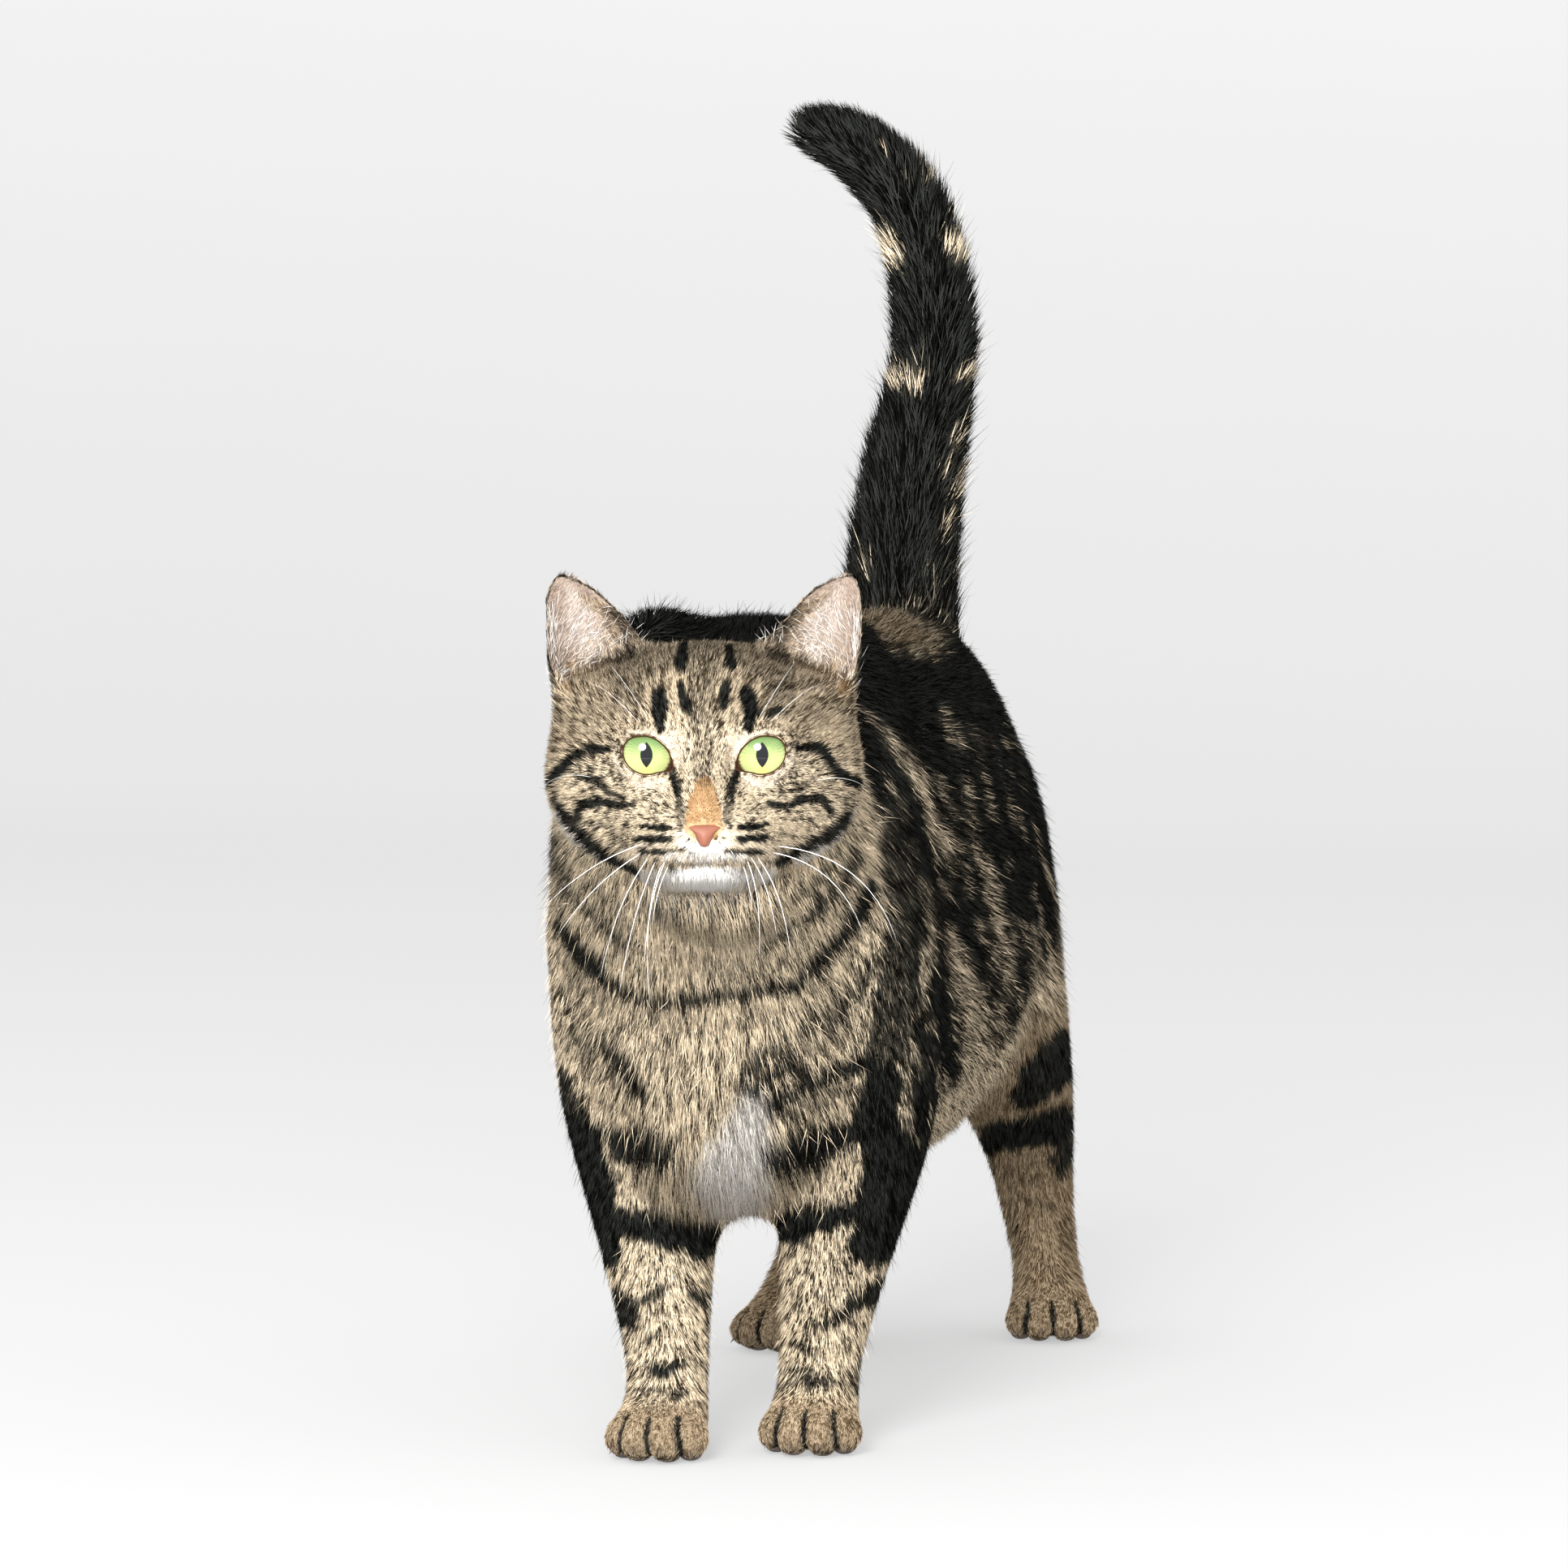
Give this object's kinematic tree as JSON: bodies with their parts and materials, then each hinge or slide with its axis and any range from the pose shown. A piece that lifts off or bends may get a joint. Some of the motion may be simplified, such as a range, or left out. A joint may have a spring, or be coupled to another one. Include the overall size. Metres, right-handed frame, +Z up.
{
  "type": "domestic cat",
  "caption": "Standing shorthaired tabby cat at life size, head to the viewer and tail held upright, as a still display model.",
  "frame": {"origin": "on the floor under the middle of the bounding box", "axes": "+Z up, +X towards the cat's left side, -Y the way the body faces"},
  "size_m": [0.1338, 0.4202, 0.4602],
  "materials": {
    "coat": "short dense tabby fur, brown-grey with black stripes",
    "tail_coat": "longer black fur with a few pale flecks",
    "ear": "thin bare skin with fine pale hair inside, short dark fur behind",
    "nose": "finely grained moist skin",
    "eye": "wet and glassy, green iris with a slit pupil",
    "claw": "horn, slightly translucent",
    "whisker": "stiff white hair"
  },
  "bodies": {
    "root": {"head": "coat", "neck": "coat", "chest": "coat", "belly": "coat", "rump": "coat", "foreleg_left_shoulder": "coat", "foreleg_left_forearm": "coat", "foreleg_left_paw": "coat", "foreleg_right_shoulder": "coat", "foreleg_right_forearm": "coat", "foreleg_right_paw": "coat", "hindleg_left_thigh": "coat", "hindleg_left_shank": "coat", "hindleg_left_paw": "coat", "hindleg_right_thigh": "coat", "hindleg_right_shank": "coat", "hindleg_right_paw": "coat", "tail_root": "tail_coat", "tail_middle": "tail_coat", "tail_end": "tail_coat", "tail_tip": "tail_coat", "ear_left": "ear", "eye_left": "eye", "ear_right": "ear", "eye_right": "eye", "nose": "nose"}
  },
  "joints": []
}
